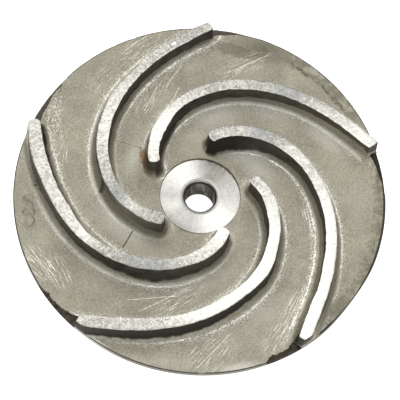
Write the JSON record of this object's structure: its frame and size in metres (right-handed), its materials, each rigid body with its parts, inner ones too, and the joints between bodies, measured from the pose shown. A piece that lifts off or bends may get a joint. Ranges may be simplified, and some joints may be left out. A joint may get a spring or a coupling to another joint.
{
  "type": "semi-open centrifugal pump impeller",
  "caption": "Cast stainless steel pump impeller: a round disc with swept vanes, a turned seat round a threaded bore and a rear hub.",
  "frame": {"origin": "centre of the rear hub face, on the shaft axis", "axes": "+Z along the shaft axis, from the rear hub face towards the inlet, so the vanes point up; +X towards the right of the picture"},
  "size_m": [0.124, 0.124, 0.0221],
  "materials": {
    "cast_steel": "grey cast stainless skin, with the vane tops ground bright and the seat, bore and rim turned"
  },
  "bodies": {
    "root": {"impeller": "cast_steel"}
  },
  "joints": []
}
